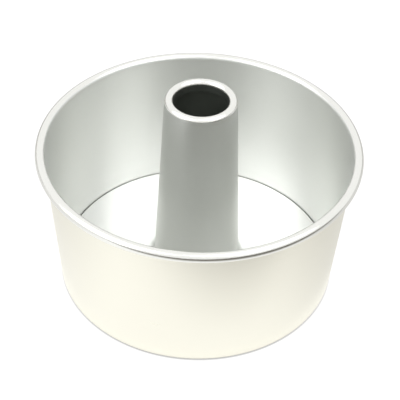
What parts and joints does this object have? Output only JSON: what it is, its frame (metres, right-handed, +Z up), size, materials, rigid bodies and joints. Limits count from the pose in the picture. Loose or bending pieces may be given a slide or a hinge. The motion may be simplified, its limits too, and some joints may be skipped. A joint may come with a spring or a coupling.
{
  "type": "tube cake pan",
  "caption": "Round tapered cake pan with a rolled rim and a loose base plate that lifts out with its hollow centre tube, for baking tall ring-shaped sponge cakes.",
  "frame": {"origin": "middle of the pan's footprint, on the surface that it stands on", "axes": "+Z up along the centre tube's axis; the pan is round, so X and Y have no marks of their own"},
  "size_m": [0.1812, 0.1812, 0.119],
  "materials": {
    "shell": "satin, spun",
    "plate": "satin, spun",
    "tube": "satin, spun"
  },
  "bodies": {
    "shell": {"pan_shell": "shell"},
    "insert": {"base_plate": "plate", "centre_tube": "tube"}
  },
  "joints": [
    {"name": "insert_lift", "type": "slide", "parent": "shell", "child": "insert", "axis": [0, 0, 1], "range_m": [0, 0.1]}
  ]
}
